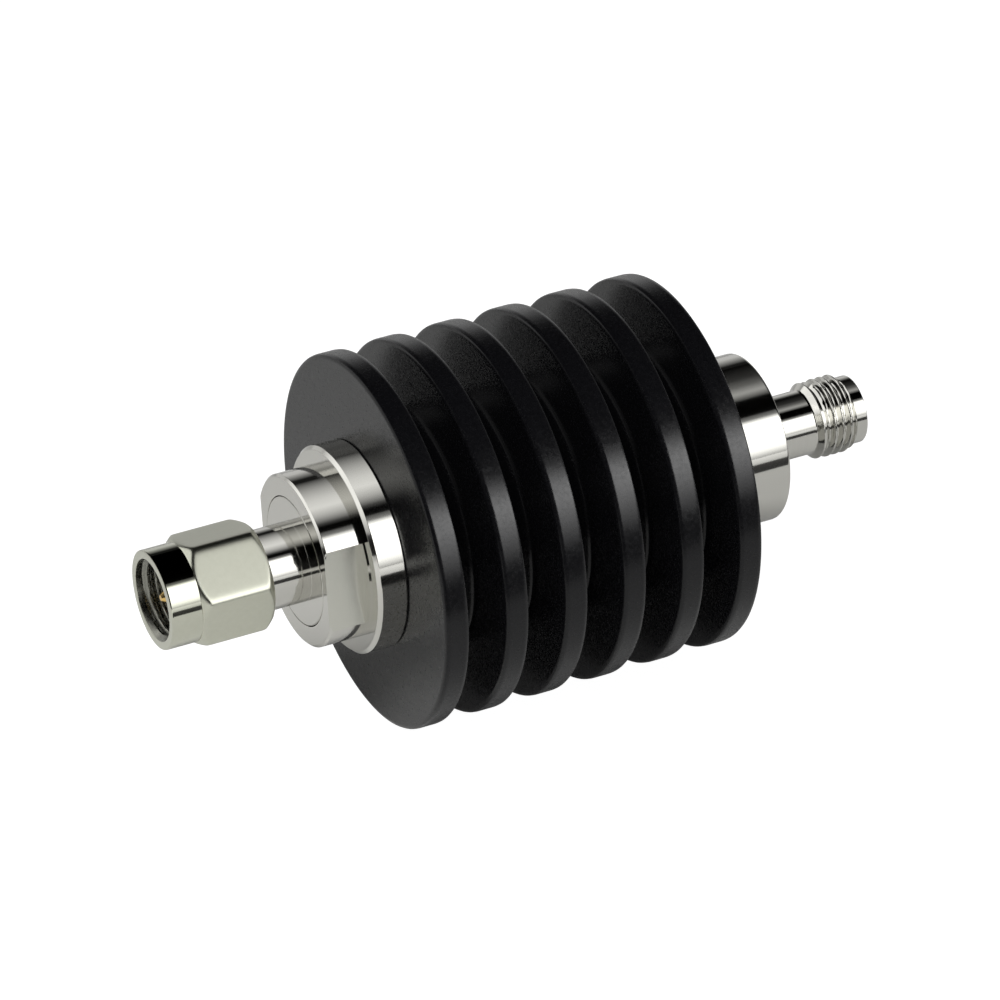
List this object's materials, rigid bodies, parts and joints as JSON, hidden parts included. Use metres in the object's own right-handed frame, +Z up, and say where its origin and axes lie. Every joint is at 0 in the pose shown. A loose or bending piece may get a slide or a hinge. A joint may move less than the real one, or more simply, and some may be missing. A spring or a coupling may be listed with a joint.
{
  "type": "coaxial rf attenuator",
  "caption": "Coaxial fixed attenuator: threaded plug with a hexagon coupling nut, round black finned heat sink, and threaded socket, all on one axis.",
  "frame": {"origin": "middle of the part's length, on the floor line under the rims of the fins", "axes": "+X along the line from the plug to the socket, +Z up; the two spanner flats of the cap face -Y and +Y"},
  "size_m": [0.0606, 0.03, 0.0299],
  "materials": {
    "black_anodised": "black anodised, satin, fine turned marks",
    "steel": "passivated, turned and polished bright",
    "nut_steel": "passivated, turned nose, milled flats, satin",
    "gold_plate": "gold plated, bright",
    "spring_bronze": "plain spring bronze",
    "copper": "plain machined copper",
    "ptfe": "plain white PTFE",
    "silicone_rubber": "moulded silicone",
    "chip_ceramic": "white ceramic, opaque"
  },
  "bodies": {
    "body": {"heat_sink": "black_anodised", "body_sleeve": "steel", "male_shell": "steel", "snap_ring": "spring_bronze", "nut_gasket": "silicone_rubber", "male_dielectric": "ptfe", "male_pin": "gold_plate", "female_shell": "steel", "female_dielectric": "ptfe", "female_contact": "gold_plate", "carrier_base": "copper", "carrier_cover": "copper", "attenuator_chip": "chip_ceramic", "input_tab": "gold_plate", "output_tab": "gold_plate", "cover_screw_1": "steel", "cover_screw_2": "steel", "cover_screw_3": "steel", "cover_screw_4": "steel"},
    "nut": {"coupling_nut": "nut_steel"}
  },
  "joints": [
    {"name": "nut_spin", "type": "hinge", "parent": "body", "child": "nut", "pos_m": [-0.02485, 0, 0.01497], "axis": [1, 0, 0], "continuous": true}
  ]
}
